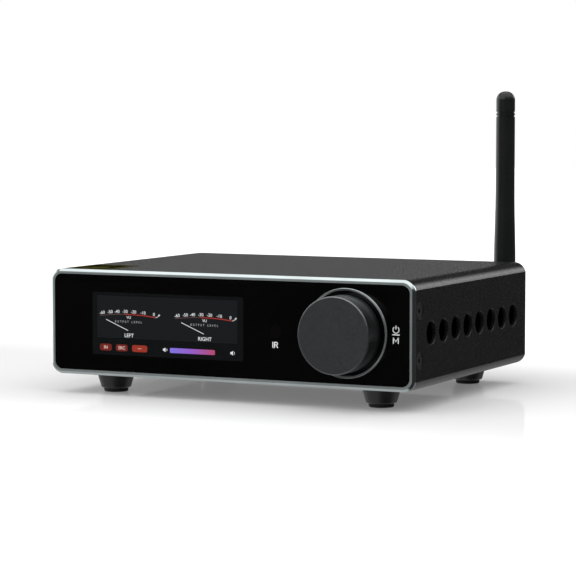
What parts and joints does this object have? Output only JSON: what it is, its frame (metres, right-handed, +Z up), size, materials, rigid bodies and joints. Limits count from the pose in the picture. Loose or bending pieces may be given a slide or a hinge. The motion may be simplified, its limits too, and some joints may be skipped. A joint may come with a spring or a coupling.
{
  "type": "stereo receiver",
  "caption": "Compact stereo receiver: flat extruded case with side vents, level-meter display, push-and-turn knob, rear sockets and screw posts, and a folding rod antenna.",
  "frame": {"origin": "under the middle of the whole object, on the surface that it stands on", "axes": "+X to the right seen from the front, +Y from the front to the back, +Z up; the knob faces -Y"},
  "size_m": [0.1692, 0.1588, 0.1294],
  "materials": {
    "case_black": "fine bead-blasted black anodising",
    "frame_grey": "machined and grey anodised, bright chamfer",
    "panel_black": "glossy black acrylic",
    "window": "smoked, bonded to the display",
    "display": "dark display cell",
    "infrared": "dark red, clear to infra-red",
    "knob_black": "fine bead-blasted dark anodising",
    "ring_silver": "turned and clear anodised",
    "sheet_steel": "plain sheet steel",
    "screw_black": "black oxide",
    "screw_steel": "zinc plated",
    "board_green": "solder mask over glass fibre",
    "ribbon": "flat film cable",
    "black_plastic": "moulded, fine texture",
    "white_plastic": "moulded",
    "red_plastic": "moulded",
    "foot_black": "moulded, satin",
    "rubber": "soft rubber",
    "antenna_black": "satin thermoplastic sleeve",
    "gold": "gold plated",
    "brass": "machined brass",
    "heatsink": "black anodised extrusion",
    "chip": "moulded epoxy",
    "coil": "moulded powdered iron",
    "capacitor": "sleeved aluminium can",
    "label": "printed film",
    "lead": "thin coaxial lead"
  },
  "bodies": {
    "chassis": {"case_sleeve": "case_black", "front_frame": "frame_grey", "front_panel": "panel_black", "display_window": "window", "display_glass": "display", "display_tray": "sheet_steel", "display_ribbon": "ribbon", "front_ribbon": "ribbon", "front_board": "board_green", "infrared_window": "infrared", "infrared_receiver": "chip", "rear_panel": "case_black", "top_label": "label", "frame_screws": "screw_black", "rear_screws": "screw_black", "knob_ring": "ring_silver", "encoder_body": "sheet_steel", "encoder_nut": "screw_steel", "feet": "foot_black", "foot_pads": "rubber", "foot_screws": "screw_steel", "post_studs": "gold", "post_collars_red": "red_plastic", "post_collars_black": "black_plastic", "post_nuts": "black_plastic", "phono_shells": "gold", "phono_inserts": "white_plastic", "phono_ring_right": "red_plastic", "phono_ring_left": "white_plastic", "phono_rings_output": "black_plastic", "optical_socket": "black_plastic", "usb_socket": "sheet_steel", "power_socket": "black_plastic", "antenna_socket": "gold", "antenna_socket_nut": "gold", "antenna_collar": "antenna_black", "antenna_lead": "lead", "main_board": "board_green", "board_spacers": "white_plastic", "radio_module": "sheet_steel", "amplifier_chip": "chip", "heatsink": "heatsink", "output_coils": "coil", "supply_capacitors": "capacitor"},
    "knob_plunger": {"encoder_plunger": "white_plastic"},
    "knob": {"knob": "knob_black", "knob_set_screw": "screw_black", "encoder_shaft": "screw_steel"},
    "antenna_base": {"antenna_knuckle": "antenna_black", "antenna_pin": "screw_steel"},
    "antenna_rod": {"antenna_rod": "antenna_black", "antenna_cap": "antenna_black"},
    "post_washer_1": {"post_washer_1": "brass"},
    "post_cap_1": {"post_cap_1": "red_plastic"},
    "post_washer_2": {"post_washer_2": "brass"},
    "post_cap_2": {"post_cap_2": "black_plastic"},
    "post_washer_3": {"post_washer_3": "brass"},
    "post_cap_3": {"post_cap_3": "red_plastic"},
    "post_washer_4": {"post_washer_4": "brass"},
    "post_cap_4": {"post_cap_4": "black_plastic"}
  },
  "joints": [
    {"name": "knob_press", "type": "slide", "parent": "chassis", "child": "knob_plunger", "axis": [0, 1, 0], "range_m": [0, 0.0004], "stiffness_N_per_m": 8000, "springref_m": -0.0002},
    {"name": "knob_turn", "type": "hinge", "parent": "knob_plunger", "child": "knob", "pos_m": [0.0545, -0.06725, 0.0312], "axis": [0, 1, 0], "continuous": true},
    {"name": "antenna_swivel", "type": "hinge", "parent": "chassis", "child": "antenna_base", "pos_m": [0.0685, 0.06755, 0.0405], "axis": [0, 1, 0], "range_deg": [-90, 90]},
    {"name": "antenna_fold", "type": "hinge", "parent": "antenna_base", "child": "antenna_rod", "pos_m": [0.0685, 0.07455, 0.0405], "axis": [-1, 0, 0], "range_deg": [0, 90]},
    {"name": "post_slide_1", "type": "slide", "parent": "chassis", "child": "post_washer_1", "axis": [0, 1, 0], "range_m": [0, 0.004]},
    {"name": "post_turn_1", "type": "hinge", "parent": "post_washer_1", "child": "post_cap_1", "pos_m": [-0.07, 0.05855, 0.022], "axis": [0, 1, 0], "range_deg": [0, 1440]},
    {"name": "post_slide_2", "type": "slide", "parent": "chassis", "child": "post_washer_2", "axis": [0, 1, 0], "range_m": [0, 0.004]},
    {"name": "post_turn_2", "type": "hinge", "parent": "post_washer_2", "child": "post_cap_2", "pos_m": [-0.054, 0.05855, 0.022], "axis": [0, 1, 0], "range_deg": [0, 1440]},
    {"name": "post_slide_3", "type": "slide", "parent": "chassis", "child": "post_washer_3", "axis": [0, 1, 0], "range_m": [0, 0.004]},
    {"name": "post_turn_3", "type": "hinge", "parent": "post_washer_3", "child": "post_cap_3", "pos_m": [-0.038, 0.05855, 0.022], "axis": [0, 1, 0], "range_deg": [0, 1440]},
    {"name": "post_slide_4", "type": "slide", "parent": "chassis", "child": "post_washer_4", "axis": [0, 1, 0], "range_m": [0, 0.004]},
    {"name": "post_turn_4", "type": "hinge", "parent": "post_washer_4", "child": "post_cap_4", "pos_m": [-0.022, 0.05855, 0.022], "axis": [0, 1, 0], "range_deg": [0, 1440]}
  ],
  "couplings": [
    {"joint": "post_turn_1", "follows": "post_slide_1", "rad_per_m": 6283.2},
    {"joint": "post_turn_2", "follows": "post_slide_2", "rad_per_m": 6283.2},
    {"joint": "post_turn_3", "follows": "post_slide_3", "rad_per_m": 6283.2},
    {"joint": "post_turn_4", "follows": "post_slide_4", "rad_per_m": 6283.2}
  ]
}
